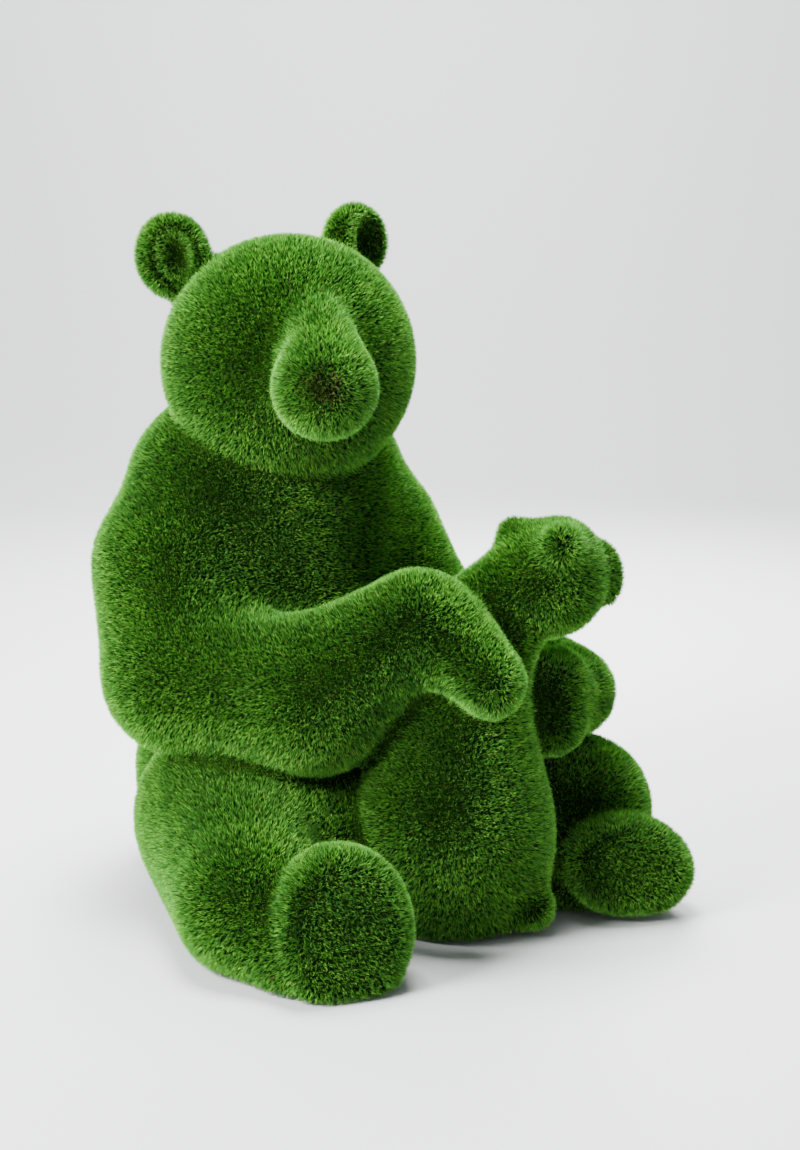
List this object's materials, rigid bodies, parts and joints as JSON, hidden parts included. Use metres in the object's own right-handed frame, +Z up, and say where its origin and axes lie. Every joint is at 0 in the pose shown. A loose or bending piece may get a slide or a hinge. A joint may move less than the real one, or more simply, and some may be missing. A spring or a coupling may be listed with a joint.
{
  "type": "topiary bear with cub",
  "caption": "Freestanding turf-covered garden figure of a large seated bear or panda hugging her cub.",
  "frame": {"origin": "middle of the footprint's bounding box, on the floor", "axes": "+Z up, the bear's body faces -Y, her left is +X"},
  "size_m": [1.1706, 1.282, 1.5099],
  "materials": {
    "turf": "dense short green turf, blades about two centimetres long that stand out from the surface"
  },
  "bodies": {
    "root": {"panda_with_cub": "turf"}
  },
  "joints": []
}
